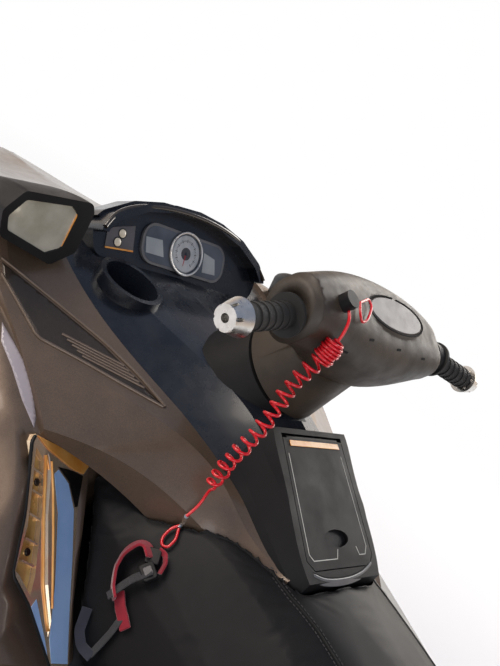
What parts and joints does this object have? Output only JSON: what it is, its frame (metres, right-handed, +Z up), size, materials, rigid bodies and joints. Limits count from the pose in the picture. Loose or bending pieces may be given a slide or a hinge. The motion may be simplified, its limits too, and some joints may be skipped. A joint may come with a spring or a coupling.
{
  "type": "personal watercraft",
  "caption": "Sit-astride personal watercraft with handlebar steering, jet pump with swivel nozzle and reverse bucket, long seat, mirrors, glovebox and bow storage hood.",
  "frame": {"origin": "centre of the bounding box at the floor under the keel flat", "axes": "+X towards the bow, +Y to port, +Z up"},
  "size_m": [3.37, 1.2244, 1.1366],
  "materials": {
    "hull_gelcoat": "moulded dark grey hull, glossy",
    "deck_black": "moulded black deck, glossy",
    "bronze": "bronze metallic paint, glossy, lightly dusty",
    "cockpit_black": "blue-black glossy plastic",
    "bumper_rubber": "black rubber strip",
    "matte_black": "matte black plastic",
    "cover_brown": "worn grey-brown matte plastic",
    "grip_rubber": "ribbed black rubber",
    "machined": "machined, slightly worn",
    "steel": "brushed stainless steel",
    "gauge_grey": "grey moulded bezel",
    "lens": "clear lens",
    "mirror_glass": "mirror glass",
    "vinyl": "black marine vinyl, fine grain",
    "chrome_trim": "chromed plastic trim",
    "mat_rubber": "ribbed traction mat",
    "cast_alu": "cast aluminium, satin",
    "engine_grey": "plain block",
    "cord_red": "red coiled urethane cord",
    "strap_red": "red neoprene band with black webbing"
  },
  "bodies": {
    "hull": {"hull": "hull_gelcoat", "deck": "deck_black", "front_body": "bronze", "gunwale_bumper": "bumper_rubber", "side_cowls": "bronze", "cockpit_cowl": "cockpit_black", "console": "matte_black", "steering_column": "matte_black", "instrument_pod": "cockpit_black", "gauge_unit": "gauge_grey", "gauge_lens": "lens", "wind_visor": "cockpit_black", "mirror_housings": "matte_black", "mirror_glasses": "mirror_glass", "seat_front": "vinyl", "seat_rear": "vinyl", "lanyard_buckle": "matte_black", "wrist_strap": "strap_red", "lanyard_cord": "cord_red", "side_accents": "chrome_trim", "rear_grab_handle": "matte_black", "traction_mats": "mat_rubber", "sponsons": "matte_black", "pump_housing": "cast_alu", "ride_plate": "cast_alu", "intake_grate": "cast_alu", "engine_block": "engine_grey", "bow_eye": "steel", "stern_eyes": "steel", "step_brackets": "cast_alu"},
    "handlebar": {"handlebar_stem": "steel", "handlebar_tube": "steel", "handlebar_cover": "cover_brown", "grips": "grip_rubber", "bar_ends": "machined", "lever_bracket": "matte_black", "lanyard_clip": "matte_black"},
    "glovebox_lid": {"glovebox_lid": "matte_black"},
    "bow_hood": {"bow_hood": "bronze"},
    "impeller": {"impeller": "steel"},
    "steer_nozzle": {"steer_nozzle": "cast_alu"},
    "reverse_bucket": {"reverse_bucket": "cast_alu"},
    "boarding_step": {"boarding_step": "steel"}
  },
  "joints": [
    {"name": "steering", "type": "hinge", "parent": "hull", "child": "handlebar", "pos_m": [0.455, 0, 0.93], "axis": [-0.4202, 0, 0.9074], "range_deg": [-22, 22], "deforming": ["lanyard_cord"]},
    {"name": "nozzle_steer", "type": "hinge", "parent": "hull", "child": "steer_nozzle", "pos_m": [-1.545, 0, 0.12], "axis": [0, 0, 1], "range_deg": [-22, 22]},
    {"name": "bucket_tilt", "type": "hinge", "parent": "hull", "child": "reverse_bucket", "pos_m": [-1.54, 0, 0.12], "axis": [0, -1, 0], "range_deg": [0, 70]},
    {"name": "impeller_spin", "type": "hinge", "parent": "hull", "child": "impeller", "pos_m": [-1.4, 0, 0.12], "axis": [1, 0, 0], "continuous": true},
    {"name": "lid_open", "type": "hinge", "parent": "hull", "child": "glovebox_lid", "pos_m": [0.33441, 0, 0.88952], "axis": [0, 1, 0], "range_deg": [0, 80]},
    {"name": "hood_open", "type": "hinge", "parent": "hull", "child": "bow_hood", "pos_m": [1.538, 0, 0.614], "axis": [0, 1, 0], "range_deg": [0, 45]},
    {"name": "step_fold", "type": "hinge", "parent": "hull", "child": "boarding_step", "pos_m": [-1.673, 0, 0.33], "axis": [0, -1, 0], "range_deg": [0, 165]}
  ],
  "couplings": [
    {"joint": "nozzle_steer", "follows": "steering", "ratio": -1}
  ]
}
